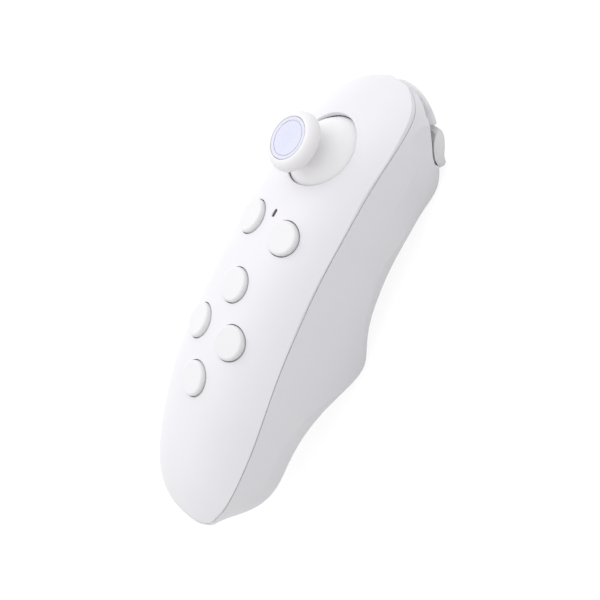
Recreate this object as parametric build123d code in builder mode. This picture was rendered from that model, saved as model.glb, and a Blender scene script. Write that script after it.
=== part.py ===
# Hand-held remote for a headset: two shells, six keys, a thumb stick,
# two finger triggers at the nose, a battery bay for two small cells.
# X is across, +Y points to the nose, +Z is up, the remote rests on z = 0.
from build123d import *
import math
import os

os.makedirs("parts", exist_ok=True)

# Main sizes, in mm
body_length = 137.2
body_width = 45.0
body_height = 40.3
wall = 2.0
cover_wall = 1.6
seam = 0.2
air = 0.3
play = 0.05
# The drawing's origin is this far behind the middle of the finished remote
nose_shift = 1.05

# Shape of the body, drawn at the sizes above and stretched with them
stretch = body_length / 137.2
spread = body_width / 45.0
rise = body_height / 40.3
outline_points = [
    (0, 67.2), (8.5, 64.8), (13.2, 61.6), (17.6, 53.5), (19.6, 40), (20.8, 24), (21.3, 5),
    (22.2, -17), (22.5, -33), (21.4, -46), (18.6, -58), (12.6, -66.6), (0, -70),
]
crown_points = [
    (-74, 12), (-70, 20.6), (-65, 26.6), (-55, 32.6), (-43, 36.7), (-31, 39.4), (-17, 40.3),
    (-3, 40.1), (14, 39.0), (26, 37.2), (37, 34.9), (46, 31.8), (54, 28.2), (60, 23.8),
    (64.5, 19.4), (67.2, 16.4), (72, 9),
]
seam_points = [
    (-80, 20.2), (-66, 22.8), (-55, 25.4), (-43, 27.3), (-32.5, 29.0), (-19, 30.5), (-3.7, 30.7),
    (13.5, 30.2), (24, 29.0), (36.5, 27.0), (45, 25.0), (53, 22.3), (59, 19.6), (62, 18.2),
    (67.2, 16.2), (72, 14.2),
]
floor_points = [
    (-76, 27), (-70, 21), (-62.5, 15.2), (-58, 11.4), (-52, 9.2), (-43, 9.6), (-34, 9.4),
    (-27, 7.4), (-20, 4.0), (-14, 0.8), (-9.6, -0.2), (-5, 1.3), (1, 3.7), (9, 5.1), (22, 5.2),
    (30, 4.0), (37, 1.4), (43.5, -0.2), (48, 1.0), (54, 3.6), (62, 7), (76, 12),
]
nose_cut_points = [
    (80, 17.4), (65.1, 14.5), (61.6, 13.9), (59.8, 12.6), (56.1, 10.2), (51.7, 7.9), (50, 6.2),
]
outline_points = [(x * spread, y * stretch) for x, y in outline_points]
crown_points = [(y * stretch, z * rise) for y, z in crown_points]
seam_points = [(y * stretch, z * rise) for y, z in seam_points]
floor_points = [(y * stretch, z * rise) for y, z in floor_points]
nose_cut_points = [(y * stretch, z * rise) for y, z in nose_cut_points]
crown_drop = 9.2 * rise
crown_power = 2.5
crown_half = 22.0 * spread
wall_flare = 2.4
flare_top = 26.0 * rise

# Keys
key_d = 10.0
key_proud = 1.2
key_travel = 1.0
key_lip = 1.55
flange_d = 12.4
stem_r = 2.2
key_places = {
    "key_back": (0, -30.9),
    "key_left": (-7.93, -16.5),
    "key_right": (7.93, -16.5),
    "key_middle": (0, -2.2),
    "key_front_left": (-7.93, 16.0),
    "key_front_right": (7.93, 16.0),
}
key_places = {name: (x * spread, y * stretch) for name, (x, y) in key_places.items()}
mat_t = 0.8
mat_dome_top = 3.2

# Boards
board_t = 1.2
key_board_top = 29.6 * rise
key_board_half = 13.6
key_board_back = -45.0 * stretch
key_board_front = 24.2 * stretch
mat_back = -38.5 * stretch
mat_front = 23.0 * stretch
key_post_places = [
    (11.2, -41.0 * stretch), (-11.2, -41.0 * stretch), (11.4, 4.0 * stretch),
    (-11.4, 4.0 * stretch),
]

# Light
light_y = 20.4 * stretch
light_l = 2.2
light_w = 0.9

# Thumb stick, about its pivot
stick_lean = 9.1
hole_y = 41.0 * stretch
hole_lean = 20.0
hole_r = 11.7
hole_sink = 2.2
dome_r = 14.0
dome_t = 1.0
dome_gap = 0.4
dome_angle = 80.0
cap_r = 8.9
cap_t = 5.4
cap_top = 21.6
inlay_r = 6.3
frame_w = 14.0
frame_bottom = -4.6
frame_top = 2.0
ring_r = 5.5
shaft_r = 1.6
trunnion_r = 0.85

# Triggers
upper_pin = (59.8 * stretch, 16.6 * rise)
lower_pin = (52.5 * stretch, 11.5 * rise)
pin_r = 1.0
hub_r = 2.2
upper_half = 12.0
lower_half = 13.0
trigger_gap = 0.5
cheek_in = 13.8
cheek_out = 15.4
trigger_board_z = 16.4 * rise
switch_w = 4.6
switch_h = 2.4
switch_x = 8.6
arm_x = 9.5
blade_bow = 3.6

# Battery bay
cell_r = 5.25
cell_l = 44.5
cell_x = 5.6
cell_z = 16.8 * rise
bay_half = 11.4
bay_wall = 1.2
bay_front = -5.2
contact_t = 0.4
cell_spring = 2.9
bay_back = bay_front - 2 * contact_t - cell_spring - cell_l
cover_half = 13.3
cover_back = bay_back + 0.8
cover_front = -13.2
cover_r = 2.5
cover_gap = 0.2

# Housing screws and their posts
post_r = 3.0
screw_head_r = 1.9
screw_shank_r = 0.95
front_post = (15.3, 28.5 * stretch)
tail_post = (0, -60.5 * stretch)


def curve(points):
    return Spline([(a, b, 0) for a, b in points], mode=Mode.PRIVATE)


def both_sides(points):
    return points + [(-x, y) for x, y in reversed(points) if x > 0]


outline_line = Spline([(x, y, 0) for x, y in both_sides(outline_points)], periodic=True, mode=Mode.PRIVATE)
crown_line = curve(crown_points)
floor_line = curve(floor_points)


def moved(points, line, distance):
    result = []
    for a, b in points:
        run = line % line.param_at_point(Vector(a, b, 0))
        result.append((a + run.Y * distance, b - run.X * distance))
    return result


def height_on(line, y):
    low, high = 0.0, 1.0
    for _ in range(40):
        middle = (low + high) / 2
        if (line @ middle).X < y:
            low = middle
        else:
            high = middle
    return (line @ low).Y


def half_width(y):
    low, high = 0.0, outline_line.param_at_point(Vector(0, outline_points[-1][1], 0))
    for _ in range(40):
        middle = (low + high) / 2
        if (outline_line @ middle).Y > y:
            low = middle
        else:
            high = middle
    return (outline_line @ low).X


def crown_height(x, y):
    return height_on(crown_line, y) - crown_drop * (abs(x) / crown_half) ** crown_power


def crown_plane(x, y):
    step = 0.5
    slope_x = (crown_height(x + step, y) - crown_height(x - step, y)) / (2 * step)
    slope_y = (crown_height(x, y + step) - crown_height(x, y - step)) / (2 * step)
    return Plane(origin=(x, y, crown_height(x, y)), x_dir=(1, 0, slope_x), z_dir=(-slope_x, -slope_y, 1))


def across(y):
    return Plane(origin=(0, y, 0), x_dir=(1, 0, 0), z_dir=(0, 1, 0))


# Every section of a form shares one spacing, so that the form stays smooth and light
def shares(points):
    total = [0.0]
    for (a, b), (c, d) in zip(points, points[1:]):
        total.append(total[-1] + math.hypot(c - a, d - b))
    return [t / total[-1] for t in total]


def floor_side(w):
    side = [(w * 0.78, 0.3), (w * 0.93, 1.7), (w + 0.6, 5.2), (w + 4, 16)]
    return [(-a, b) for a, b in reversed(side)] + [(0, 0)] + side


wall_shares = shares(both_sides(outline_points) + [outline_points[0]])
floor_shares = shares(floor_side(18))


def spaced(points, spacing, closed=False):
    return Edge.make_spline([Vector(a, b) for a, b in points], periodic=closed, parameters=spacing)


def wall_form(inset):
    with BuildPart() as form:
        for z in (-6, 4, 14, 24, 46):
            flare = wall_flare * (max(flare_top - z, 0) / flare_top) ** 2
            level = moved(outline_points, outline_line, inset + flare)
            level = [(0, level[0][1])] + level[1:-1] + [(0, level[-1][1])]
            with BuildSketch(Plane.XY.offset(z)):
                with BuildLine():
                    add(spaced(both_sides(level), wall_shares, closed=True))
                make_face()
        loft()
    return form.part


def crown_form(inset):
    reach = 28 * spread
    with BuildPart() as form:
        for y, z in moved(crown_points, crown_line, inset):
            with BuildSketch(across(y)):
                with BuildLine():
                    xs = [reach * i / 4 for i in range(-4, 5)]
                    arch = [(x, crown_drop * (abs(x) / crown_half) ** crown_power - z) for x in xs]
                    top = spaced(arch, [i / 8 for i in range(9)])
                    add(top)
                    Polyline(top @ 1, (reach, 40), (-reach, 40), top @ 0)
                make_face()
        loft()
    return form.part


def floor_form(inset):
    with BuildPart() as form:
        for y, z in moved(floor_points, floor_line, -inset):
            inside = min(max(y, -69 * stretch), 66 * stretch)
            tuck = 1.5 + 1.8 * min(max(y / stretch - 30, 0) / 8, 1)
            w = max(half_width(inside) - tuck, 13) - inset
            with BuildSketch(across(y)):
                with BuildLine():
                    low = spaced([(a, -z - b) for a, b in floor_side(w)], floor_shares)
                    add(low)
                    Polyline(low @ 1, (w + 4, -80), (-w - 4, -80), low @ 0)
                make_face()
        loft()
    return form.part


def hull(inset):
    with BuildPart() as form:
        add(wall_form(inset))
        add(crown_form(inset), mode=Mode.INTERSECT)
        add(floor_form(inset), mode=Mode.INTERSECT)
    return form.part


def seam_zone(shift, side):
    far = 120 if side > 0 else -60
    with BuildPart() as form:
        with BuildSketch(Plane.YZ):
            with BuildLine():
                line = Spline([(y, z + shift) for y, z in seam_points])
                Polyline(line @ 1, ((line @ 1).X, far), ((line @ 0).X, far), line @ 0)
            make_face()
        extrude(amount=60, both=True)
    return form.part


def prism(points, half, centre=0.0):
    with BuildPart() as form:
        with BuildSketch(Plane.YZ.offset(centre)):
            with BuildLine():
                Polyline(*points, close=True)
            make_face()
        extrude(amount=half, both=True)
    return form.part


def box_between(x0, x1, y0, y1, z0, z1):
    with BuildPart() as form:
        with Locations(((x0 + x1) / 2, (y0 + y1) / 2, (z0 + z1) / 2)):
            Box(x1 - x0, y1 - y0, z1 - z0)
    return form.part


def post(place, radius, z0, z1):
    with BuildPart() as form:
        with BuildSketch(Plane.XY.offset(z0)):
            with Locations(place):
                Circle(radius)
        extrude(amount=z1 - z0)
    return form.part


def finish(form, name):
    form.part = form.part.moved(Location((0, nose_shift, 0)))
    form.part.label = name
    export_step(form.part, "parts/" + name + ".step")


# Whole forms used by both shells
outer = hull(0)
inner = hull(wall)
lip_outer = hull(wall - 1.0)
lip_edge = hull(wall + 0.1)
lip_inner = hull(wall + 1.1)
cover_inner = hull(cover_wall)
ledge_inner = hull(cover_wall + 1.0)

key_planes = {name: crown_plane(x, y) for name, (x, y) in key_places.items()}
hole_plane = Plane(
    origin=(0, hole_y, height_on(crown_line, hole_y) - hole_sink),
    x_dir=(1, 0, 0),
    z_dir=(0, math.sin(math.radians(hole_lean)), math.cos(math.radians(hole_lean))),
)
# The pivot lies under the opening, so deep that the dome fills it all but the gap
pivot = hole_plane.origin - hole_plane.z_dir * math.sqrt(dome_r ** 2 - (hole_r - dome_gap) ** 2)
stick_plane = Plane(
    origin=pivot,
    x_dir=(1, 0, 0),
    z_dir=(0, math.sin(math.radians(stick_lean)), math.cos(math.radians(stick_lean))),
)

# Everything ahead of and below this line is open for the triggers
nose_open = prism(nose_cut_points + [(48.2 * stretch, -4), (80 * stretch, -4)], 40)
lip_open = prism(
    [
        (51.5 * stretch, 7.8), (49.4 * stretch, 5.8), (46.8 * stretch, 5.0), (46.8 * stretch, -4),
        (54 * stretch, -4),
    ],
    cheek_in - 0.2,
)

# Top shell
with BuildPart() as top_shell:
    add(outer)
    add(inner, mode=Mode.SUBTRACT)
    add(seam_zone(seam / 2, 1), mode=Mode.INTERSECT)
    for name, plane in key_planes.items():
        with BuildSketch(plane.offset(-8)):
            Circle(key_d / 2 + air)
        extrude(amount=12, mode=Mode.SUBTRACT)
        with BuildSketch(plane.offset(-key_lip)):
            Circle(flange_d / 2 + air)
        extrude(amount=-5, mode=Mode.SUBTRACT)
    with BuildSketch(hole_plane.offset(-5)):
        Circle(hole_r)
    extrude(amount=12, mode=Mode.SUBTRACT)
    with Locations(stick_plane.origin):
        Sphere(dome_r + air, mode=Mode.SUBTRACT)
    with BuildSketch(Plane.XY.offset(28)):
        with Locations((0, light_y)):
            SlotOverall(light_l + 0.3, light_w + 0.3, rotation=90)
    extrude(amount=20, mode=Mode.SUBTRACT)

with BuildPart() as top_posts:
    for x, y in key_post_places:
        add(post((x, y), 2.0, key_board_top, 60))
    for x in (front_post[0], -front_post[0]):
        add(post((x, front_post[1]), post_r, 24 * rise, 60))
    add(post(tail_post, post_r, 22.5 * rise, 60))
    add(lip_outer, mode=Mode.INTERSECT)

with BuildPart() as top_bores:
    for x, y in key_post_places:
        add(post((x, y), 0.75, key_board_top - 1, key_board_top + 3.0))
    for x in (front_post[0], -front_post[0]):
        add(post((x, front_post[1]), 1.0, 20, 24 * rise + 5.5))
    add(post(tail_post, 1.0, 20, 22.5 * rise + 3.6))

with BuildPart() as top_whole:
    add(top_shell.part)
    add(top_posts.part)
    add(top_bores.part, mode=Mode.SUBTRACT)
finish(top_whole, "top_shell")

# Bottom shell: skin, lip, bay, posts, cheeks for the trigger pins
lower_zone = seam_zone(-seam / 2, -1)
cover_block = box_between(-cover_half, cover_half, cover_back, cover_front, -5, cell_z)
with BuildPart() as cover_hole:
    with BuildSketch(Plane.XY.offset(-5)):
        with Locations((0, (cover_back + cover_front) / 2)):
            RectangleRounded(
                2 * (cover_half + cover_gap),
                cover_front - cover_back + 2 * cover_gap,
                cover_r + cover_gap,
            )
    extrude(amount=cell_z + 5)

with BuildPart() as skin:
    add(outer)
    add(inner, mode=Mode.SUBTRACT)
    add(lower_zone, mode=Mode.INTERSECT)

with BuildPart() as lip_low:
    add(lip_outer)
    add(lip_inner, mode=Mode.SUBTRACT)
    add(seam_zone(-2.4, 1), mode=Mode.INTERSECT)
    add(lower_zone, mode=Mode.INTERSECT)
    add(box_between(-30, 30, 56 * stretch, 90, -10, 60), mode=Mode.SUBTRACT)

with BuildPart() as lip_high:
    add(lip_edge)
    add(lip_inner, mode=Mode.SUBTRACT)
    add(seam_zone(-1.0, 1), mode=Mode.INTERSECT)
    add(seam_zone(1.2, -1), mode=Mode.INTERSECT)
    add(box_between(-30, 30, 56 * stretch, 90, -10, 60), mode=Mode.SUBTRACT)

with BuildPart() as cover_space:
    add(cover_hole.part)
    add(cover_inner, mode=Mode.SUBTRACT)

with BuildPart() as ribs:
    bay_top = cell_z + cell_r + 0.3
    add(
        box_between(
            -bay_half - bay_wall, bay_half + bay_wall, bay_back - bay_wall, bay_front + bay_wall,
            -2, bay_top + bay_wall,
        ),
    )
    add(box_between(-bay_half, bay_half, bay_back, bay_front, -4, bay_top), mode=Mode.SUBTRACT)
    for side in (-1, 1):
        near, far = sorted((side * cheek_in, side * cheek_out))
        add(box_between(near, far, 45 * stretch, 60 * stretch, 0, 20 * rise))
        near, far = sorted((side * (cheek_out - 0.4), side * 20))
        for y in (47.5, 55):
            add(box_between(near, far, y * stretch, y * stretch + 1.2, 0, 18 * rise))
        near, far = sorted((side * 11.2, side * (cheek_in + 0.4)))
        for y in (49.0, 55.6):
            add(
                box_between(
                    near, far, y * stretch - 1.5, y * stretch + 1.5, trigger_board_z - 2.6,
                    trigger_board_z,
                ),
            )
        near, far = sorted((side * 11.9, side * 16))
        add(
            box_between(
                near, far, upper_pin[0] - 2.2, upper_pin[0] + 2.2, upper_pin[1] - 2.2,
                upper_pin[1] + 2.0,
            ),
        )
        add(post((side * front_post[0], front_post[1]), post_r, -2, 24 * rise))
    add(post(tail_post, post_r, -2, 22.5 * rise))
    add(lip_outer, mode=Mode.INTERSECT)
    add(lower_zone, mode=Mode.INTERSECT)

with BuildPart() as stick_posts:
    for u in (-8.6, 8.6):
        for v in (-8.0, 6.4):
            with BuildSketch(stick_plane.offset(frame_bottom - board_t)):
                with Locations((u, v)):
                    Circle(1.7)
            extrude(amount=-30)
    add(lip_outer, mode=Mode.INTERSECT)

with BuildPart() as ledge:
    add(cover_inner)
    add(ledge_inner, mode=Mode.SUBTRACT)
    add(
        box_between(-cover_half - 1, cover_half + 1, cover_back - 1, cover_front + 1, -3, cell_z),
        mode=Mode.INTERSECT,
    )
    add(
        box_between(-bay_half, bay_half, cover_back + 1.6, cover_front - 1.6, -4, cell_z + 2),
        mode=Mode.SUBTRACT,
    )

with BuildPart() as bottom_cuts:
    for side in (-1, 1):
        add(post((side * front_post[0], front_post[1]), screw_head_r + 0.2, -5, 15 * rise))
        add(post((side * front_post[0], front_post[1]), screw_shank_r + 0.15, -5, 30))
    add(post(tail_post, screw_head_r + 0.2, -5, 18.6 * rise))
    add(post(tail_post, screw_shank_r + 0.15, -5, 30))
    for u in (-8.6, 8.6):
        for v in (-8.0, 6.4):
            with BuildSketch(stick_plane.offset(frame_bottom - board_t + 1)):
                with Locations((u, v)):
                    Circle(0.75)
            extrude(amount=-5)
    for y, z in (upper_pin, lower_pin):
        half = 13.2 if z == upper_pin[1] else 15.0
        with BuildSketch(Plane.YZ):
            with Locations((y, z)):
                Circle(pin_r)
        extrude(amount=half, both=True)
    for x in (-12.2, 12.2):
        add(post((x, 49.0 * stretch), 0.75, trigger_board_z - 2.4, trigger_board_z + 1))
    for x in (-cell_x, cell_x):
        add(
            box_between(
                x - 1.3, x + 1.3, bay_front - 1, bay_front + bay_wall + 1, cell_z + 2.2,
                cell_z + 3.2,
            ),
        )
    add(box_between(-30, 30, -90, 90, -20, 0))

with BuildPart() as bottom_whole:
    add(skin.part)
    add(cover_hole.part, mode=Mode.SUBTRACT)
    add(lip_low.part)
    add(lip_high.part)
    add(ribs.part)
    add(stick_posts.part)
    add(ledge.part)
    add(cover_space.part, mode=Mode.SUBTRACT)
    add(nose_open, mode=Mode.SUBTRACT)
    add(lip_open, mode=Mode.SUBTRACT)
    add(bottom_cuts.part, mode=Mode.SUBTRACT)
    for side in (-1, 1):
        add(post((side * front_post[0], front_post[1]), post_r + 0.3, 24 * rise, 60), mode=Mode.SUBTRACT)
    add(post(tail_post, post_r + 0.3, 22.5 * rise, 60), mode=Mode.SUBTRACT)
finish(bottom_whole, "bottom_shell")

# Battery cover
with BuildPart() as cover_plan:
    with BuildSketch(Plane.XY.offset(-5)):
        with Locations((0, (cover_back + cover_front) / 2)):
            RectangleRounded(2 * cover_half, cover_front - cover_back, cover_r)
    extrude(amount=cell_z + 5)

with BuildPart() as cover_ribs:
    for side in (-1, 1):
        near, far = sorted((side * (bay_half - 1.4), side * (bay_half - 0.4)))
        add(box_between(near, far, cover_back + 4, cover_front - 10, 4, 13.6 * rise))
    add(box_between(-0.5, 0.5, cover_back + 4, cover_front - 10, 4, 12.6 * rise))
    add(lip_outer, mode=Mode.INTERSECT)

with BuildPart() as battery_cover:
    add(outer)
    add(cover_inner, mode=Mode.SUBTRACT)
    add(cover_plan.part, mode=Mode.INTERSECT)
    add(cover_ribs.part)
    add(box_between(-30, 30, -90, 90, -20, 0), mode=Mode.SUBTRACT)
finish(battery_cover, "battery_cover")

# Six keys
for name, plane in key_planes.items():
    depth = (plane.origin.Z - key_board_top - mat_t - mat_dome_top - 0.55) / plane.z_dir.Z
    with BuildPart() as key:
        with BuildSketch(plane.offset(-key_lip - 0.05)):
            Circle(key_d / 2)
        extrude(amount=key_lip + 0.05 + key_proud)
        fillet(key.faces().sort_by(Axis(plane.origin, plane.z_dir))[-1].edges(), 0.8)
        with BuildSketch(plane.offset(-key_lip - 0.05)):
            Circle(flange_d / 2)
        extrude(amount=-0.95)
        with BuildSketch(plane.offset(-key_lip - 0.9)):
            Circle(stem_r)
        extrude(amount=-(depth - key_lip - 0.9))
    finish(key, name)

# Rubber mat under the keys
with BuildPart() as keypad_mat:
    with BuildSketch(Plane.XY.offset(key_board_top)):
        with Locations((0, (mat_back + mat_front) / 2)):
            RectangleRounded(25.6, mat_front - mat_back, 2)
        with Locations(*key_post_places):
            Circle(2.4, mode=Mode.SUBTRACT)
        with Locations((0, light_y)):
            Rectangle(5, 6, mode=Mode.SUBTRACT)
    extrude(amount=mat_t)
    for name, plane in key_planes.items():
        t = (plane.origin.Z - key_board_top - mat_t - mat_dome_top) / plane.z_dir.Z
        centre = plane.origin - plane.z_dir * t
        with Locations((centre.X, centre.Y, key_board_top + mat_t + mat_dome_top / 2)):
            Cone(4.2, 2.6, mat_dome_top)
        with Locations((centre.X, centre.Y, key_board_top + 1.4)):
            Cone(3.5, 2.4, 2.8, mode=Mode.SUBTRACT)
        with Locations((centre.X, centre.Y, key_board_top + 2.2)):
            Cylinder(1.3, 1.4)
finish(keypad_mat, "keypad_mat")

# Main board under the keys
with BuildPart() as key_board:
    with BuildSketch(Plane.XY.offset(key_board_top - board_t)):
        with Locations((0, (key_board_back + key_board_front) / 2)):
            RectangleRounded(2 * key_board_half, key_board_front - key_board_back, 2)
        with Locations(*key_post_places):
            Circle(0.9, mode=Mode.SUBTRACT)
    extrude(amount=board_t)
finish(key_board, "key_board")

board_under = key_board_top - board_t
with BuildPart() as radio_chip:
    with Locations((0, -12, board_under - 0.6)):
        Box(7, 7, 1.2)
    chamfer(radio_chip.edges().group_by(Axis.Z)[0], 0.15)
finish(radio_chip, "radio_chip")

with BuildPart() as crystal:
    with BuildSketch(Plane.XY.offset(board_under - 1.6)):
        with Locations((8, -8)):
            SlotOverall(8, 3.4, rotation=90)
    extrude(amount=1.6)
    fillet(crystal.faces().sort_by(Axis.Z)[0].edges(), 0.4)
finish(crystal, "crystal")

with BuildPart() as capacitors:
    with Locations(
        (-6.5, -4, board_under - 0.5), (-6.5, -7.5, board_under - 0.5), (3.5, 2, board_under - 0.5),
        (-6.5, -18, board_under - 0.5),
    ):
        Box(2.0, 1.2, 1.0)
finish(capacitors, "capacitors")

with BuildPart() as light_emitter:
    with Locations((0, light_y, key_board_top + 0.35)):
        Box(1.6, 2.0, 0.7)
finish(light_emitter, "light_emitter")

light_top = height_on(crown_line, light_y) - 0.25
light_under = height_on(crown_line, light_y) - wall - 0.5
with BuildPart() as light_window:
    with BuildSketch(Plane.XY.offset(key_board_top + 1.0)):
        with Locations((0, light_y)):
            SlotOverall(light_l, light_w, rotation=90)
    extrude(amount=light_top - key_board_top - 1.0)
    with Locations((0, light_y, light_under - 0.5)):
        Box(3.0, 4.4, 0.8)
finish(light_window, "light_window")


def make_screw(plane, head_r, head_h, shank_r, length):
    with BuildPart() as screw:
        with BuildSketch(plane):
            Circle(head_r)
        extrude(amount=head_h)
        with BuildSketch(plane):
            Circle(shank_r)
        extrude(amount=-length)
        with BuildSketch(plane.offset(head_h)):
            Rectangle(head_r * 1.2, head_r * 0.24)
            Rectangle(head_r * 0.24, head_r * 1.2)
        extrude(amount=-head_h * 0.5, mode=Mode.SUBTRACT)
    return screw.part


def downward(x, y, z):
    return Plane(origin=(x, y, z), x_dir=(1, 0, 0), z_dir=(0, 0, -1))


with BuildPart() as housing_screws:
    for side in (-1, 1):
        add(
            make_screw(
                downward(side * front_post[0], front_post[1], 15 * rise), screw_head_r, 1.4,
                screw_shank_r, 24 * rise + 4.5 - 15 * rise,
            ),
        )
    add(
        make_screw(
            downward(*tail_post, 18.6 * rise), screw_head_r, 1.4, screw_shank_r,
            22.5 * rise + 3.0 - 18.6 * rise,
        ),
    )
finish(housing_screws, "housing_screws")

with BuildPart() as board_screws:
    for x, y in key_post_places:
        add(make_screw(downward(x, y, board_under), 1.5, 0.9, 0.7, board_t + 2.6))
    for u in (-8.6, 8.6):
        for v in (-8.0, 6.4):
            spot = stick_plane.offset(frame_bottom).from_local_coords(Vector(u, v, 0))
            add(
                make_screw(
                    Plane(origin=spot, x_dir=stick_plane.x_dir, z_dir=stick_plane.z_dir), 1.4, 0.9,
                    0.7, board_t + 2.6,
                ),
            )
    for x in (-12.2, 12.2):
        add(
            make_screw(
                Plane.XY.offset(trigger_board_z + 1.0).move(Location((x, 49.0 * stretch, 0))), 1.4,
                0.8, 0.7, 3.0,
            ),
        )
finish(board_screws, "board_screws")

# Stick board and the stick's frame
with BuildPart() as stick_board:
    with BuildSketch(stick_plane.offset(frame_bottom - board_t)):
        with Locations((0, -0.9)):
            RectangleRounded(21.4, 18.4, 1.5)
        with Locations(*[(u, v) for u in (-8.6, 8.6) for v in (-8.0, 6.4)]):
            Circle(0.9, mode=Mode.SUBTRACT)
    extrude(amount=board_t)
finish(stick_board, "stick_board")

with BuildPart() as stick_frame:
    with BuildSketch(stick_plane.offset(frame_bottom)):
        Rectangle(frame_w, frame_w)
    extrude(amount=frame_top - frame_bottom)
    with BuildSketch(stick_plane.offset(frame_bottom + 0.8)):
        Rectangle(frame_w - 2, frame_w - 2)
    extrude(amount=12, mode=Mode.SUBTRACT)
    side_plane = Plane(origin=stick_plane.origin, x_dir=stick_plane.y_dir, z_dir=stick_plane.x_dir)
    with BuildSketch(side_plane):
        Circle(trunnion_r + play)
    extrude(amount=frame_w, both=True, mode=Mode.SUBTRACT)
finish(stick_frame, "stick_frame")

with BuildPart() as stick_pots:
    with BuildSketch(stick_plane.offset(frame_bottom)):
        with Locations((frame_w / 2 + 1.3, 0)):
            Rectangle(2.6, 7)
        with Locations((0, -frame_w / 2 - 1.3)):
            Rectangle(7, 2.6)
    extrude(amount=5.6)
finish(stick_pots, "stick_pots")

# Gimbal ring, turns about the cross axis in the frame
pin_plane = Plane(origin=stick_plane.origin, x_dir=stick_plane.x_dir, z_dir=stick_plane.y_dir)
with BuildPart() as stick_ring:
    with BuildSketch(stick_plane.offset(-1.1)):
        Circle(ring_r)
        Circle(3.7, mode=Mode.SUBTRACT)
    extrude(amount=2.2)
    with BuildSketch(side_plane.offset(ring_r - 0.4)):
        Circle(trunnion_r)
    extrude(amount=frame_w / 2 - ring_r + 0.3)
    with BuildSketch(side_plane.offset(-ring_r + 0.4)):
        Circle(trunnion_r)
    extrude(amount=-(frame_w / 2 - ring_r + 0.3))
    with BuildSketch(pin_plane):
        Circle(0.7 + play)
    extrude(amount=8, both=True, mode=Mode.SUBTRACT)
finish(stick_ring, "stick_ring")

# Stick: hub, cross pins, shaft and foot in one piece
with BuildPart() as stick_shaft:
    add(Location(stick_plane) * Sphere(2.9, mode=Mode.PRIVATE))
    with BuildSketch(pin_plane):
        Circle(0.7)
    extrude(amount=ring_r - 0.2, both=True)
    with BuildSketch(stick_plane):
        Circle(shaft_r)
    extrude(amount=cap_top - 1.6)
    with BuildSketch(stick_plane):
        Circle(0.9)
    extrude(amount=-3.2)
finish(stick_shaft, "stick_shaft")

half_profile = Plane(origin=stick_plane.origin, x_dir=stick_plane.x_dir, z_dir=(-stick_plane.y_dir))
stick_axis = Axis(stick_plane.origin, stick_plane.z_dir)


def on_arc(radius, degrees):
    return (radius * math.sin(math.radians(degrees)), radius * math.cos(math.radians(degrees)))


with BuildPart() as stick_dome:
    with BuildSketch(half_profile):
        with BuildLine():
            over = ThreePointArc(on_arc(dome_r, dome_angle), on_arc(dome_r, 40), on_arc(dome_r, 0.001))
            under = ThreePointArc(
                on_arc(dome_r - dome_t, dome_angle), on_arc(dome_r - dome_t, 50),
                on_arc(dome_r - dome_t, 15),
            )
            Polyline(over @ 1, (0, 9.4), ((under @ 1).X, 9.4), under @ 1)
            Line(over @ 0, under @ 0)
        make_face()
    revolve(axis=stick_axis)
    with BuildSketch(stick_plane.offset(5)):
        Circle(shaft_r + play)
    extrude(amount=14, mode=Mode.SUBTRACT)
finish(stick_dome, "stick_dome")

cap_under = cap_top - cap_t
with BuildPart() as stick_cap:
    with BuildSketch(half_profile):
        with BuildLine():
            neck = Polyline(
                (shaft_r + play, dome_r + 0.02), (3.2, dome_r + 0.02), (3.2, cap_under + 0.2),
                (5.2, cap_under + 0.2),
            )
            rim = [
                (7.4, cap_under + 0.6), (8.6, cap_under + 1.5), (cap_r, cap_under + 2.5),
                (8.75, cap_top - 1.9), (8.1, cap_top - 0.8), (7.2, cap_top - 0.15),
            ]
            edge = Spline(neck @ 1, *rim, (inlay_r + 0.15, cap_top))
            Polyline(
                edge @ 1, (inlay_r + 0.1, cap_top - 0.8), (0, cap_top - 0.8), (0, cap_top - 1.5),
                (shaft_r + play, cap_top - 1.5), neck @ 0,
            )
        make_face()
    revolve(axis=stick_axis)
finish(stick_cap, "stick_cap")

with BuildPart() as stick_inlay:
    with BuildSketch(half_profile):
        with BuildLine():
            dish = ThreePointArc(
                (0, cap_top - 0.22), (inlay_r * 0.55, cap_top - 0.155), (inlay_r, cap_top - 0.02),
            )
            Polyline(dish @ 1, (inlay_r, cap_top - 0.8), (0, cap_top - 0.8), dish @ 0)
        make_face()
    revolve(axis=stick_axis)
    with BuildSketch(stick_plane.offset(cap_top - 0.3)):
        for radius in (1.6, 2.8, 4.0, 5.2):
            Circle(radius + 0.1)
            Circle(radius - 0.1, mode=Mode.SUBTRACT)
    extrude(amount=1, mode=Mode.SUBTRACT)
finish(stick_inlay, "stick_inlay")


def coil(plane, radius, wire, pitch, height):
    with BuildPart() as form:
        with BuildLine() as path:
            Helix(pitch=pitch, height=height, radius=radius)
        with BuildSketch(Plane(origin=path.line @ 0, z_dir=path.line % 0)):
            Circle(wire)
        sweep(path=path.line, is_frenet=True)
    return form.part.moved(Location(plane))


with BuildPart() as stick_spring:
    add(coil(stick_plane.offset(frame_bottom + 1.0), 2.3, 0.18, 0.7, 1.5))
finish(stick_spring, "stick_spring")

# Triggers
keep_clear = hull(-trigger_gap)
keep_inner = hull(wall + trigger_gap)
with BuildPart() as keep_out:
    add(keep_clear)
    add(keep_inner, mode=Mode.SUBTRACT)
    add(
        prism(
            [(y, z - trigger_gap) for y, z in nose_cut_points] + [
                (44 * stretch, 6.2), (44 * stretch, 40), (80 * stretch, 40),
            ],
            40,
        ),
        mode=Mode.INTERSECT,
    )


def yz(points):
    return [(y * stretch, z * rise) for y, z in points]


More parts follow.
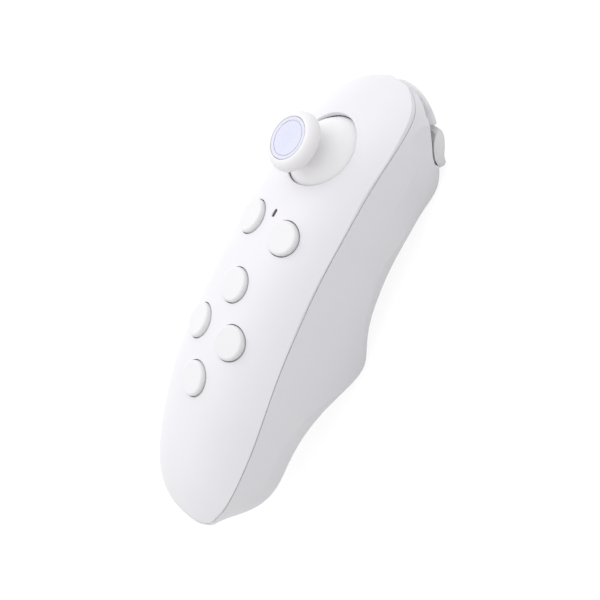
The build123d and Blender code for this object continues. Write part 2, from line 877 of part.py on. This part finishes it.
# The upper blade bows forward in the middle and has an arched top edge
with BuildPart() as blade_front:
    with BuildSketch(Plane.XZ.offset(-50)):
        with BuildLine():
            side = [(11.6, 7.0), (11.4, 9.6), (9.0, 11.8), (4.6, 13.3)]
            side = [(x, z * rise) for x, z in side]
            arch = Spline([(-x, z) for x, z in side] + [(0, 13.8 * rise)] + side[::-1])
            Polyline(arch @ 1, (11.6, 2), (-11.6, 2), arch @ 0)
        make_face()
    extrude(amount=-40)

with BuildPart() as blade:
    for i in range(-3, 4):
        x = upper_half * i / 3
        bow = blade_bow * (x / upper_half) ** 2
        with BuildSketch(Plane.YZ.offset(x)):
            with BuildLine():
                front = [(63.7, 8.7), (65.0, 9.9), (65.9, 11.1), (66.5, 12.5), (66.7, 14.0), (66.6, 15.8)]
                face = Spline([(y - bow, z) for y, z in yz(front)])
                back = [(64.9, 15.8), (64.9, 14.2), (63.7, 12.2), (62.2, 10.3)]
                Polyline([face @ 1] + [(y - bow, z) for y, z in yz(back)] + [face @ 0])
            make_face()
    loft()
    add(blade_front.part, mode=Mode.INTERSECT)

with BuildPart() as upper_trigger:
    add(blade.part)
    for centre in (-5.6, 5.6):
        add(
            prism(
                yz(
                    [
                        (61.2, 10.2), (64.0, 13.0), (61.9, 15.6), (61.0, 18.2), (58.6, 18.2),
                        (57.9, 14.6), (58.8, 11.4),
                    ],
                ),
                2.4, centre,
            ),
        )
    with BuildSketch(Plane.YZ):
        with Locations(upper_pin):
            Circle(hub_r)
    extrude(amount=8.2, both=True)
    add(
        box_between(-2.8, 2.8, upper_pin[0] - 4, upper_pin[0] + 2.5, upper_pin[1] - 2.6, upper_pin[1] + 4),
        mode=Mode.SUBTRACT,
    )
    arm = [(60.2, 10.2), (61.0, 11.6), (59.4, 13.4), (57.2, 13.1), (55.4, 13.1), (55.4, 12.0), (58.0, 11.8)]
    add(prism(yz(arm), 1.0, arm_x))
    add(keep_out.part, mode=Mode.SUBTRACT)
    with BuildSketch(Plane.YZ):
        with Locations(upper_pin):
            Circle(pin_r + play)
    extrude(amount=20, both=True, mode=Mode.SUBTRACT)
finish(upper_trigger, "upper_trigger")

with BuildPart() as lower_trigger:
    with BuildSketch(Plane.YZ):
        with BuildLine():
            low_front = yz([(59.3, 7.3), (57.5, 5.2), (54.8, 3.5), (52.7, 2.4), (51.3, 1.0)])
            face = Spline(*[Vector(a, b) for a, b in low_front])
            Polyline(
                face @ 1,
                *yz([(50.2, 0.9), (49.0, 2.3), (50.6, 4.7), (53.0, 6.6), (55.6, 7.9), (57.8, 8.4)]),
                face @ 0,
            )
        make_face()
    extrude(amount=lower_half, both=True)
    for centre in (-5.6, 5.6):
        add(
            prism(
                yz([(51.6, 4.2), (56.6, 7.0), (54.6, 9.6), (53.9, 12.6), (50.9, 12.6), (50.4, 10.6)]),
                2.4, centre,
            ),
        )
    with BuildSketch(Plane.YZ.offset(-arm_x - 1.0)):
        with Locations(lower_pin):
            Circle(hub_r)
    extrude(amount=arm_x + 1.0 + 8.2)
    add(
        box_between(-2.8, 2.8, lower_pin[0] - 4, lower_pin[0] + 4, lower_pin[1] - 3, lower_pin[1] + 4),
        mode=Mode.SUBTRACT,
    )
    arm = [(51.8, 10.2), (51.8, 13.2), (49.4, 13.35), (47.8, 13.35), (47.8, 12.2), (50.0, 10.8)]
    add(prism(yz(arm), 1.0, -arm_x))
    with BuildSketch(Plane.YZ):
        with Locations(lower_pin):
            Circle(pin_r + play)
    extrude(amount=20, both=True, mode=Mode.SUBTRACT)
finish(lower_trigger, "lower_trigger")

with BuildPart() as trigger_pins:
    for (y, z), half in ((upper_pin, 13.1), (lower_pin, 14.9)):
        with BuildSketch(Plane.YZ):
            with Locations((y, z)):
                Circle(pin_r)
        extrude(amount=half, both=True)
finish(trigger_pins, "trigger_pins")


def rod(start, end, radius):
    with BuildPart() as form:
        with BuildSketch(Plane(origin=start, z_dir=end - start)):
            Circle(radius)
        extrude(amount=(end - start).length)
    return form.part


# Torsion springs on the pins, each leg a chain of straight bits
spring_r = 1.5
spring_wire = 0.17
spring_half = 2.0
for name, pin, turns, leg_a, leg_b in (
    ("upper_spring", upper_pin, 5.5, [(1.5, 0), (3.6, -3.6)], [(-1.5, 0), (-2.2, -0.37), (-4.6, -0.37)]),
    ("lower_spring", lower_pin, 5.25, [(1.5, 0), (2.0, -3.85)], [(0, 1.5), (-1.0, 2.0), (-2.4, 4.73)]),
):
    y, z = pin
    with BuildPart() as spring:
        start = Plane(origin=(-spring_half, y, z), x_dir=(0, 1, 0), z_dir=(1, 0, 0))
        add(coil(start, spring_r, spring_wire, 2 * spring_half / turns, 2 * spring_half))
        for side, points in ((-1, leg_a), (1, leg_b)):
            spots = [Vector(side * spring_half, y + a, z + b) for a, b in points]
            for first, second in zip(spots, spots[1:]):
                add(rod(first, second, spring_wire))
            with Locations(*spots[:-1]):
                Sphere(spring_wire + 0.03)
    finish(spring, name)

with BuildPart() as trigger_board:
    with BuildSketch(Plane.XY.offset(trigger_board_z)):
        with Locations((0, 52.2 * stretch)):
            RectangleRounded(25.2, 10.2, 1)
        with Locations((-12.2, 49.0 * stretch), (12.2, 49.0 * stretch)):
            Circle(0.9, mode=Mode.SUBTRACT)
    extrude(amount=1.0)
finish(trigger_board, "trigger_board")

with BuildPart() as trigger_switches:
    with Locations(
        (switch_x, 54.9 * stretch, trigger_board_z - switch_h / 2),
        (-switch_x, 49.5 * stretch, trigger_board_z - switch_h / 2),
    ):
        Box(switch_w, switch_w, switch_h)
finish(trigger_switches, "trigger_switches")

# Cells and their contacts
cell_places = ((cell_x, bay_back + contact_t + cell_spring, 1), (-cell_x, bay_back + contact_t, -1))
with BuildPart() as battery_cells:
    for x, y0, way in cell_places:
        nub = 0.9
        body_y = y0 if way > 0 else y0 + nub
        with BuildSketch(Plane.XZ.offset(-body_y)):
            with Locations((x, cell_z)):
                Circle(cell_r)
        extrude(amount=-(cell_l - nub))
        nub_y = y0 + cell_l - nub if way > 0 else y0
        with BuildSketch(Plane.XZ.offset(-nub_y)):
            with Locations((x, cell_z)):
                Circle(1.9)
        extrude(amount=-nub)
finish(battery_cells, "battery_cells")

with BuildPart() as battery_plates:
    add(
        box_between(
            -cell_x - 4.4, cell_x + 4.4, bay_back, bay_back + contact_t, cell_z - 4.2, cell_z + 4.2,
        ),
    )
    for x in (-cell_x, cell_x):
        add(box_between(x - 4.2, x + 4.2, bay_front - contact_t, bay_front, cell_z - 4.2, cell_z + 4.2))
        add(
            box_between(
                x - 1.0, x + 1.0, bay_front - contact_t, bay_front + bay_wall + 1.2, cell_z + 2.5,
                cell_z + 2.9,
            ),
        )
finish(battery_plates, "battery_plates")

with BuildPart() as battery_springs:
    back = Plane(origin=(cell_x, bay_back + contact_t + 0.3, cell_z), x_dir=(1, 0, 0), z_dir=(0, 1, 0))
    front = Plane(origin=(-cell_x, bay_front - contact_t - 0.3, cell_z), x_dir=(1, 0, 0), z_dir=(0, -1, 0))
    for plane in (back, front):
        add(coil(plane, 2.6, 0.25, 0.95, cell_spring - 0.6))
finish(battery_springs, "battery_springs")

# Wires and the flat cable between the boards
def wire(points, radius):
    with BuildPart() as form:
        with BuildLine() as path:
            Spline(*points)
        with BuildSketch(Plane(origin=path.line @ 0, z_dir=path.line % 0)):
            Circle(radius)
        sweep(path=path.line)
    return form.part


tab_y = bay_front + bay_wall + 1.0
for name, x in (("wire_plus", cell_x), ("wire_minus", -cell_x)):
    with BuildPart() as lead:
        add(
            wire(
                [
                    (x, tab_y, cell_z + 3.4), (x * 0.95, tab_y + 1.6, cell_z + 5.5),
                    (x * 0.8, tab_y + 2.4, board_under - 2.2),
                    (x * 0.75, tab_y + 1.6, board_under - 0.2),
                ],
                0.45,
            ),
        )
    finish(lead, name)

socket_front = 22.0 * stretch
with BuildPart() as sockets:
    add(box_between(-5, 5, socket_front - 3.0, socket_front, board_under - 1.6, board_under))
    with BuildSketch(stick_plane.offset(frame_bottom - board_t)):
        with Locations((0, -7.6)):
            Rectangle(10, 3)
    extrude(amount=-1.6)
finish(sockets, "sockets")

low_socket = stick_plane.from_local_coords(Vector(0, -9.1, frame_bottom - board_t - 0.8))
with BuildPart() as flat_cable:
    with BuildLine() as cable_path:
        Spline(
            (0, socket_front + 0.15, board_under - 0.8), (0, socket_front + 0.9, board_under - 2.0),
            (0, socket_front + 0.9, board_under - 6.0), (0, socket_front + 3.0, low_socket.Z + 0.9),
            (0, low_socket.Y - 0.15, low_socket.Z + 0.05),
        )
    with BuildSketch(Plane(origin=cable_path.line @ 0, x_dir=(1, 0, 0), z_dir=cable_path.line % 0)):
        Rectangle(8, 0.3)
    sweep(path=cable_path.line)
finish(flat_cable, "flat_cable")
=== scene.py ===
import math

import bpy
from mathutils import Matrix, Vector


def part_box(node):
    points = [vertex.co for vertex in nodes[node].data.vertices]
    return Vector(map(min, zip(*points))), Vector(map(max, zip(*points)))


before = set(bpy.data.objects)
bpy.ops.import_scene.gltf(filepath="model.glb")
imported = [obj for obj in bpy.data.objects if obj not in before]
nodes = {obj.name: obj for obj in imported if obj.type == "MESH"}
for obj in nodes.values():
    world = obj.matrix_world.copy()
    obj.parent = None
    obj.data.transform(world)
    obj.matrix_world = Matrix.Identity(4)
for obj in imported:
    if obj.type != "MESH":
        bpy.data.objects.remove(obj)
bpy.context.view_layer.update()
scene = bpy.context.scene

# Colours of the white mouldings, and of the painted shade that darkens their gaps
WHITE = (0.86, 0.853, 0.885)
WHITE_GAP_SHADE = (0.60, 0.59, 0.61)
TRIGGER_WHITE = (0.91, 0.905, 0.925)
KEY_WHITE = (0.865, 0.86, 0.878)
CAP_WHITE = (0.905, 0.895, 0.91)
# The dome's white is lighter than the shell's: painted light that makes up for the shade the cap casts on
# it
DOME_WHITE_PAINTED_LIGHT = (0.945, 0.94, 0.955)
DOME_GAP_SHADE = (0.85, 0.84, 0.86)

# Inlay of the thumb cap: its tint on the left, on the right, at the rim and in the rings
INLAY_LEFT = (0.715, 0.72, 0.905)
INLAY_RIGHT = (0.715, 0.765, 0.89)
INLAY_RIM = (0.76, 0.765, 0.885)
INLAY_RING = (0.62, 0.66, 0.87)
# The rim's tint starts this far from the inlay's middle, and the left and right tints are full this far out
INLAY_CORE = 0.0015
INLAY_REACH = 0.005
# From one ring of the inlay to the next, and from one conductor of the flat cable to the next
RING_PITCH = 0.0004
CONDUCTOR_PITCH = 0.001

# Radii that round the corners of the shells, of the keys and cap, and of small pieces, in metres
SHELL_EDGE = 0.00025
KEY_EDGE = 0.0003
SMALL_EDGE = 0.0001
# How near a wall must be for the gap colour to gather beside it: painted shade on the pale mouldings, dust
# on the black one
GAP_SHADE_AND_DUST_REACH = 0.0006

# Floor and studio: sizes and places in metres, power in watts
FLOOR_SIZE = 6.0
FLOOR_DROP = 0.0002
FLOOR_GREYS = ((0.72, 0.72, 0.72), (0.70, 0.70, 0.70))
FLOOR_GLOW = 0.88
FLOOR_VEIL = 0.24
SKY_COLOUR = (1.0, 0.995, 1.0)
SKY_BRIGHT_SIDE = (-0.33, 0.22, 0.92)
# The sky's strength grows from low, at this cosine to its bright side, to high on the bright side itself
SKY_LOW_COSINE = -0.3
SKY_LOW = 0.52
SKY_HIGH = 1.10
LIGHT_PLACE = (-0.5, 0.35, 1.2)
LIGHT_TARGET = (0, 0, 0.02)
LIGHT_SIZE = 1.1
LIGHT_POWER = 3.0

# Camera at the photograph's angle: its right and up, the middle of its view and the view's width there
CAMERA_RIGHT = (0.519, 0.414, -0.748)
CAMERA_UP = (-0.398, 0.891, 0.217)
VIEW_MIDDLE = (0.00897, 0.00203, 0.02423)
VIEW_WIDTH = 0.1653
LENS = 300.0
SENSOR = 36.0


# Node helpers
class Nodes:
    """Short calls for the nodes of one material or world."""

    def __init__(self, owner):
        owner.use_nodes = True
        self.tree = owner.node_tree
        self.tree.nodes.clear()

    def new(self, kind, inputs=None, **values):
        node = self.tree.nodes.new(kind)
        for key, value in values.items():
            setattr(node, key, value)
        for key, value in (inputs or {}).items():
            node.inputs[key].default_value = value
        return node

    def link(self, a, b):
        self.tree.links.new(a, b)

    def math(self, operation, a, b=0.0):
        node = self.new("ShaderNodeMath", operation=operation)
        for socket, value in zip(node.inputs, (a, b)):
            if isinstance(value, (int, float)):
                socket.default_value = value
            else:
                self.link(value, socket)
        return node.outputs[0]

    def ranged(self, value, low, high, to_low, to_high, easing="LINEAR"):
        """value from low to high becomes to_low to to_high, and stops there."""
        limits = {"From Min": low, "From Max": high, "To Min": to_low, "To Max": to_high}
        node = self.new("ShaderNodeMapRange", limits, interpolation_type=easing)
        self.link(value, node.inputs["Value"])
        return node.outputs["Result"]

    def spread(self, noise, low=0.0, high=1.0):
        """Noise lies mostly from 0.3 to 0.7, and that becomes low to high."""
        return self.ranged(noise, 0.3, 0.7, low, high)

    def mix_shaders(self, factor, a, b):
        node = self.new("ShaderNodeMixShader")
        for socket, value in zip(node.inputs, (factor, a, b)):
            self.link(value, socket)
        return node.outputs[0]

    def seen_directly(self):
        """1 for camera, glossy and transmission rays, which see the white background."""
        path = self.new("ShaderNodeLightPath")
        total = path.outputs["Is Camera Ray"]
        for name in ("Is Glossy Ray", "Is Transmission Ray"):
            total = self.math("MAXIMUM", total, path.outputs[name])
        return total


class Shader(Nodes):
    """One material, whose look is read in metres from the object's own coordinates."""

    def __init__(self, name):
        self.material = bpy.data.materials.new(name)
        super().__init__(self.material)
        self.out = self.new("ShaderNodeOutputMaterial")
        self.bsdf = self.new("ShaderNodeBsdfPrincipled")
        self.link(self.bsdf.outputs[0], self.out.inputs["Surface"])
        self.coords = self.new("ShaderNodeTexCoord").outputs["Object"]

    def paint(self, colour, rough):
        self.link(colour, self.bsdf.inputs["Base Color"])
        self.link(rough, self.bsdf.inputs["Roughness"])

    def noise(self, scale, detail=2.0, rough=0.5, stretch=None):
        node = self.new("ShaderNodeTexNoise", {"Scale": scale, "Detail": detail, "Roughness": rough})
        where = self.coords
        if stretch:
            mapping = self.new("ShaderNodeMapping", {"Scale": stretch})
            self.link(where, mapping.inputs["Vector"])
            where = mapping.outputs[0]
        self.link(where, node.inputs["Vector"])
        return node.outputs["Fac"]

    def mix(self, factor, a, b):
        node = self.new("ShaderNodeMix", data_type="RGBA")
        for index, value in ((0, factor), (6, a), (7, b)):
            if isinstance(value, (int, float)):
                node.inputs[index].default_value = value
            elif isinstance(value, tuple):
                node.inputs[index].default_value = (*value, 1)
            else:
                self.link(value, node.inputs[index])
        return node.outputs[2]

    def bump(self, heights, edge=None):
        """heights holds (height, metres, strength); edge is the radius that rounds corners."""
        normal = None
        if edge:
            normal = self.new("ShaderNodeBevel", {"Radius": edge}, samples=6).outputs[0]
        for height, distance, strength in heights:
            node = self.new("ShaderNodeBump", {"Distance": distance, "Strength": strength})
            self.link(height, node.inputs["Height"])
            if normal:
                self.link(normal, node.inputs["Normal"])
            normal = node.outputs[0]
        self.link(normal, self.bsdf.inputs["Normal"])

    def gaps(self, distance):
        """1 in gaps and corners, 0 in the open."""
        node = self.new("ShaderNodeAmbientOcclusion", {"Distance": distance}, samples=6)
        return self.ranged(node.outputs["AO"], 0.25, 0.9, 1.0, 0.0)

    def edges(self, radius):
        """Near 1 on sharp outer edges, 0 on flats."""
        bevel = self.new("ShaderNodeBevel", {"Radius": radius}, samples=4)
        geometry = self.new("ShaderNodeNewGeometry")
        product = self.new("ShaderNodeVectorMath", operation="DOT_PRODUCT")
        self.link(bevel.outputs[0], product.inputs[0])
        self.link(geometry.outputs["Normal"], product.inputs[1])
        return self.ranged(product.outputs["Value"], 0.995, 0.86, 0.0, 1.0)

    def axes(self, vector):
        """The X, Y and Z of a vector output."""
        node = self.new("ShaderNodeSeparateXYZ")
        self.link(vector, node.inputs[0])
        return node.outputs


# Materials
def moulded(name, colour, dark, rough, grain=0.05, edge=SHELL_EDGE):
    """Moulded plastic: fine eroded grain, faint flow clouds, smoother edges lightened by a painted
    highlight, and in the gaps the colour dark, a painted shade where it is darker than the moulding and
    dust where it is paler.
    """
    s = Shader(name)
    clouds = s.spread(s.noise(55.0, 3.0))
    fine = s.noise(5200.0, 2.0, 0.6)
    tiny = s.noise(1300.0, 3.0, 0.6)
    gap_shade_and_dust = s.gaps(GAP_SHADE_AND_DUST_REACH)
    edge_polish_and_highlight = s.edges(edge * 1.2)
    base = s.mix(clouds, colour, tuple(c * 0.985 for c in colour))
    # Painted shade: gaps and corners are mixed towards dark (on the black moulding dark is paler, a dust)
    base = s.mix(s.math("MULTIPLY", gap_shade_and_dust, 0.4), base, dark)
    # Painted highlight: sharp outer edges are lightened in colour; they are also made smoother (a real
    # polish)
    base = s.mix(s.math("MULTIPLY", edge_polish_and_highlight, 0.35), base, tuple(min(c * 1.04, 0.95) for c in colour))
    satin = s.spread(tiny, rough - 0.03, rough + 0.05)
    satin = s.math("SUBTRACT", satin, s.math("MULTIPLY", edge_polish_and_highlight, 0.08))
    satin = s.math("ADD", satin, s.math("MULTIPLY", gap_shade_and_dust, 0.15))
    s.paint(base, satin)
    s.bump([(fine, 0.00003, grain), (tiny, 0.00005, grain * 0.6)], edge)
    s.bsdf.inputs["Specular IOR Level"].default_value = 0.45
    return s.material


def steel(name, colour, rough, stretch=(1, 1, 1)):
    """Drawn or rolled metal with fine draw lines and small stains."""
    s = Shader(name)
    lines = s.noise(1800.0, 4.0, 0.7, stretch)
    stains = s.ranged(s.noise(260.0, 4.0, 0.55), 0.35, 0.75, 0.0, 1.0)
    base = s.mix(stains, colour, tuple(c * 0.82 for c in colour))
    s.paint(base, s.ranged(lines, 0.2, 0.8, rough - 0.08, rough + 0.12))
    s.bump([(lines, 0.00002, 0.15)], SMALL_EDGE)
    s.bsdf.inputs["Metallic"].default_value = 1.0
    return s.material


def circuit_board(name):
    """Circuit board: green mask, faint tracks under it, fibre at the edges."""
    s = Shader(name)
    tracks = {
        "Scale": 260.0,
        "Mortar Size": 0.05,
        "Mortar Smooth": 0.2,
        "Color1": (0.012, 0.10, 0.040, 1),
        "Color2": (0.016, 0.13, 0.052, 1),
        "Mortar": (0.030, 0.21, 0.085, 1),
    }
    brick = s.new("ShaderNodeTexBrick", tracks, offset=0.37)
    s.link(s.coords, brick.inputs["Vector"])
    slope = s.axes(s.new("ShaderNodeNewGeometry").outputs["Normal"])["Z"]
    face = s.ranged(s.math("ABSOLUTE", slope), 0.5, 0.8, 0.0, 1.0)
    fibre = s.mix(s.noise(2500.0), (0.42, 0.40, 0.20), (0.25, 0.27, 0.12))
    s.paint(s.mix(face, fibre, brick.outputs["Color"]), s.spread(s.noise(900.0), 0.28, 0.42))
    s.bump([(brick.outputs["Fac"], 0.00004, 0.4)], SMALL_EDGE)
    return s.material


def rubber(name, colour, rough):
    """Silicone or cable sleeve: soft, slightly cloudy, with a little dust."""
    s = Shader(name)
    clouds = s.spread(s.noise(300.0, 3.0))
    dust = s.noise(3000.0, 3.0, 0.7)
    base = s.mix(clouds, colour, tuple(min(c * 1.15 + 0.01, 0.9) for c in colour))
    base = s.mix(s.ranged(dust, 0.62, 0.8, 0.0, 0.35), base, (0.6, 0.6, 0.58))
    s.paint(base, s.spread(dust, rough - 0.06, rough + 0.1))
    s.bump([(dust, 0.00003, 0.2)], 0.00015)
    return s.material


def spun_inlay(name):
    """Pale lavender-blue disc with spun rings that catch the light."""
    s = Shader(name)
    low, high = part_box("stick_inlay")
    rim = (high.x - low.x) / 2
    shift = s.new("ShaderNodeVectorMath", operation="SUBTRACT")
    shift.inputs[1].default_value = (low + high) / 2
    s.link(s.coords, shift.inputs[0])
    flat = s.new("ShaderNodeVectorMath", operation="MULTIPLY")
    flat.inputs[1].default_value = (1, 1, 0.12)
    s.link(shift.outputs[0], flat.inputs[0])
    length = s.new("ShaderNodeVectorMath", operation="LENGTH")
    s.link(flat.outputs[0], length.inputs[0])
    radius = length.outputs["Value"]
    rings = s.math("SINE", s.math("MULTIPLY", radius, 2 * math.pi / RING_PITCH))
    across = s.ranged(s.axes(shift.outputs[0])["X"], -INLAY_REACH, INLAY_REACH, 0.0, 1.0)
    base = s.mix(across, INLAY_LEFT, INLAY_RIGHT)
    base = s.mix(s.ranged(radius, INLAY_CORE, rim, 0.0, 1.0), base, INLAY_RIM)
    base = s.mix(s.ranged(rings, -1, 1, 0.0, 0.10), base, INLAY_RING)
    s.paint(base, s.spread(s.noise(1500.0), 0.22, 0.32))
    s.bump([(rings, 0.00002, 0.25)], SMALL_EDGE)
    s.bsdf.inputs["Coat Weight"].default_value = 0.3
    s.bsdf.inputs["Coat Roughness"].default_value = 0.15
    return s.material


def cell_sleeve(name):
    """Bare shrink sleeve of a cell: two tones, no words."""
    s = Shader(name)
    low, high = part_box("battery_cells")
    middle = (low.y + high.y) / 2
    band = s.ranged(s.axes(s.coords)["Y"], middle - 0.0001, middle + 0.0001, 0.0, 1.0)
    scuff = s.noise(700.0, 5.0, 0.7)
    base = s.mix(band, (0.05, 0.06, 0.075), (0.30, 0.33, 0.38))
    base = s.mix(s.ranged(scuff, 0.58, 0.72, 0.0, 0.3), base, (0.5, 0.5, 0.5))
    s.paint(base, s.spread(scuff, 0.22, 0.4))
    s.bump([(scuff, 0.00002, 0.2)], 0.0002)
    s.bsdf.inputs["Metallic"].default_value = 0.6
    return s.material


def misted(name, first, second, rough, scale, detail=2.0, strength=0.1):
    """Small clear or smoked moulding with a faint mist of two tones."""
    s = Shader(name)
    mist = s.noise(scale, detail)
    s.paint(s.mix(mist, first, second), s.spread(mist, *rough))
    s.bump([(mist, 0.00001, strength)], SMALL_EDGE)
    return s.material


def ribbon(name):
    """Flat cable: pale film over fine parallel conductors."""
    s = Shader(name)
    wave = s.math("SINE", s.math("MULTIPLY", s.axes(s.coords)["X"], 2 * math.pi / CONDUCTOR_PITCH))
    base = s.mix(s.ranged(wave, -0.2, 0.2, 0.0, 1.0), (0.62, 0.63, 0.64), (0.34, 0.33, 0.30))
    s.paint(base, s.ranged(wave, -1, 1, 0.25, 0.35))
    s.bump([(wave, 0.00003, 0.4)])
    return s.material


shell = moulded("shell_white", WHITE, WHITE_GAP_SHADE, rough=0.40)
trigger_white = moulded("trigger_white", TRIGGER_WHITE, WHITE_GAP_SHADE, rough=0.40)
key_white = moulded("key_white", KEY_WHITE, WHITE_GAP_SHADE, rough=0.34, grain=0.03, edge=KEY_EDGE)
black = moulded(
    "black_moulding", (0.018, 0.018, 0.020), (0.05, 0.05, 0.048), 0.45, grain=0.12, edge=SMALL_EDGE
)
natural = moulded(
    "natural_moulding", (0.72, 0.71, 0.66), (0.25, 0.24, 0.22), 0.45, edge=SMALL_EDGE
)
green = circuit_board("circuit_board")
spring_steel = steel("spring_steel", (0.52, 0.52, 0.54), 0.28)
zinc = steel("zinc_screw", (0.55, 0.56, 0.58), 0.32, (1, 1, 6))
can_steel = steel("can_steel", (0.66, 0.66, 0.65), 0.30, (1, 8, 1))
contact = steel("plated_contact", (0.72, 0.70, 0.66), 0.25, (6, 1, 1))

# Which finish each CAD piece wears
finishes = {
    "top_shell": shell,
    "bottom_shell": shell,
    "battery_cover": shell,
    "upper_trigger": trigger_white,
    "lower_trigger": trigger_white,
    "keypad_mat": rubber("grey_silicone", (0.40, 0.40, 0.42), 0.55),
    "key_board": green,
    "stick_board": green,
    "trigger_board": green,
    "radio_chip": black,
    "stick_pots": black,
    "trigger_switches": black,
    "crystal": can_steel,
    "stick_frame": can_steel,
    "capacitors": moulded(
        "tan_ceramic", (0.36, 0.24, 0.15), (0.12, 0.09, 0.06), rough=0.4, grain=0.1, edge=SMALL_EDGE
    ),
    "light_emitter": misted(
        "light_emitter", (0.80, 0.78, 0.55), (0.72, 0.72, 0.60), (0.2, 0.35), 2500.0, strength=0.15
    ),
    "light_window": misted(
        "smoked_window", (0.035, 0.035, 0.038), (0.07, 0.07, 0.075), (0.12, 0.25), 1400.0, detail=3.0
    ),
    "housing_screws": zinc,
    "board_screws": zinc,
    "stick_ring": natural,
    "stick_shaft": natural,
    "stick_dome": moulded("dome_white", DOME_WHITE_PAINTED_LIGHT, DOME_GAP_SHADE, rough=0.36, grain=0.03),
    "stick_cap": moulded("cap_white", CAP_WHITE, WHITE_GAP_SHADE, rough=0.38, grain=0.04, edge=KEY_EDGE),
    "stick_inlay": spun_inlay("inlay_lavender"),
    "stick_spring": spring_steel,
    "upper_spring": spring_steel,
    "lower_spring": spring_steel,
    "trigger_pins": steel("pin_steel", (0.58, 0.58, 0.60), 0.2, (8, 1, 1)),
    "battery_cells": cell_sleeve("cell_sleeve"),
    "battery_plates": contact,
    "battery_springs": contact,
    "wire_plus": rubber("red_sleeve", (0.40, 0.02, 0.018), 0.45),
    "wire_minus": rubber("black_sleeve", (0.015, 0.015, 0.016), 0.45),
    "sockets": moulded(
        "cream_moulding", (0.70, 0.66, 0.54), (0.25, 0.23, 0.19), rough=0.5, edge=SMALL_EDGE
    ),
    "flat_cable": ribbon("flat_ribbon"),
}
key_names = [name for name in nodes if name.startswith("key_") and name != "key_board"]
finishes.update(dict.fromkeys(key_names, key_white))
for name, node in nodes.items():
    for slot in node.material_slots:
        slot.material = finishes[name]


# Floor and studio
def pale_floor():
    """Where it is seen the floor is nearly white by its own glow, and keeps a faint shadow."""
    s = Shader("pale_floor")
    s.link(s.mix(s.noise(4.0), *FLOOR_GREYS), s.bsdf.inputs["Base Color"])
    s.bsdf.inputs["Roughness"].default_value = 0.7
    glow = s.new("ShaderNodeEmission", {"Strength": FLOOR_GLOW})
    veil = s.new("ShaderNodeBsdfDiffuse", {"Color": (FLOOR_VEIL, FLOOR_VEIL, FLOOR_VEIL, 1)})
    both = s.new("ShaderNodeAddShader")
    s.link(glow.outputs[0], both.inputs[0])
    s.link(veil.outputs[0], both.inputs[1])
    choice = s.mix_shaders(s.seen_directly(), s.bsdf.outputs[0], both.outputs[0])
    s.link(choice, s.out.inputs["Surface"])
    bpy.ops.mesh.primitive_plane_add(size=FLOOR_SIZE, location=(0, 0, -FLOOR_DROP))
    floor = bpy.context.object
    floor.name = "floor"
    floor.data.materials.append(s.material)


def studio_world():
    """Even soft light, a little brighter from one side, and plain white where it is seen."""
    scene.world = bpy.data.worlds.new("studio")
    w = Nodes(scene.world)
    toward = w.new("ShaderNodeVectorMath", operation="DOT_PRODUCT")
    toward.inputs[1].default_value = Vector(SKY_BRIGHT_SIDE).normalized()
    w.link(w.new("ShaderNodeTexCoord").outputs["Generated"], toward.inputs[0])
    soft = w.new("ShaderNodeBackground", {"Color": (*SKY_COLOUR, 1)})
    cosine = toward.outputs["Value"]
    strength = w.ranged(cosine, SKY_LOW_COSINE, 1.0, SKY_LOW, SKY_HIGH, "SMOOTHSTEP")
    w.link(strength, soft.inputs["Strength"])
    white = w.new("ShaderNodeBackground", {"Color": (1, 1, 1, 1), "Strength": 1.0})
    choice = w.mix_shaders(w.seen_directly(), soft.outputs[0], white.outputs[0])
    w.link(choice, w.new("ShaderNodeOutputWorld").inputs["Surface"])


def softbox():
    """A large round lamp that points at the object."""
    data = bpy.data.lights.new("key_light", "AREA")
    data.shape = "DISK"
    data.size = LIGHT_SIZE
    data.energy = LIGHT_POWER
    lamp = bpy.data.objects.new("key_light", data)
    scene.collection.objects.link(lamp)
    lamp.location = LIGHT_PLACE
    ray = Vector(LIGHT_TARGET) - Vector(LIGHT_PLACE)
    lamp.rotation_euler = ray.to_track_quat("-Z", "Y").to_euler()


def photograph_camera():
    """A long lens, because the photograph is nearly parallel."""
    data = bpy.data.cameras.new("camera")
    data.lens = LENS
    data.sensor_width = SENSOR
    data.clip_start = 0.01
    data.clip_end = 20.0
    right = Vector(CAMERA_RIGHT).normalized()
    up = Vector(CAMERA_UP)
    up = (up - right * up.dot(right)).normalized()
    back = right.cross(up)
    distance = LENS * VIEW_WIDTH / SENSOR
    turn = Matrix((right, up, back)).transposed().to_4x4()
    camera = bpy.data.objects.new("camera", data)
    scene.collection.objects.link(camera)
    camera.matrix_world = Matrix.Translation(Vector(VIEW_MIDDLE) + back * distance) @ turn
    scene.camera = camera


pale_floor()
studio_world()
softbox()
photograph_camera()
scene.view_settings.view_transform = "Standard"
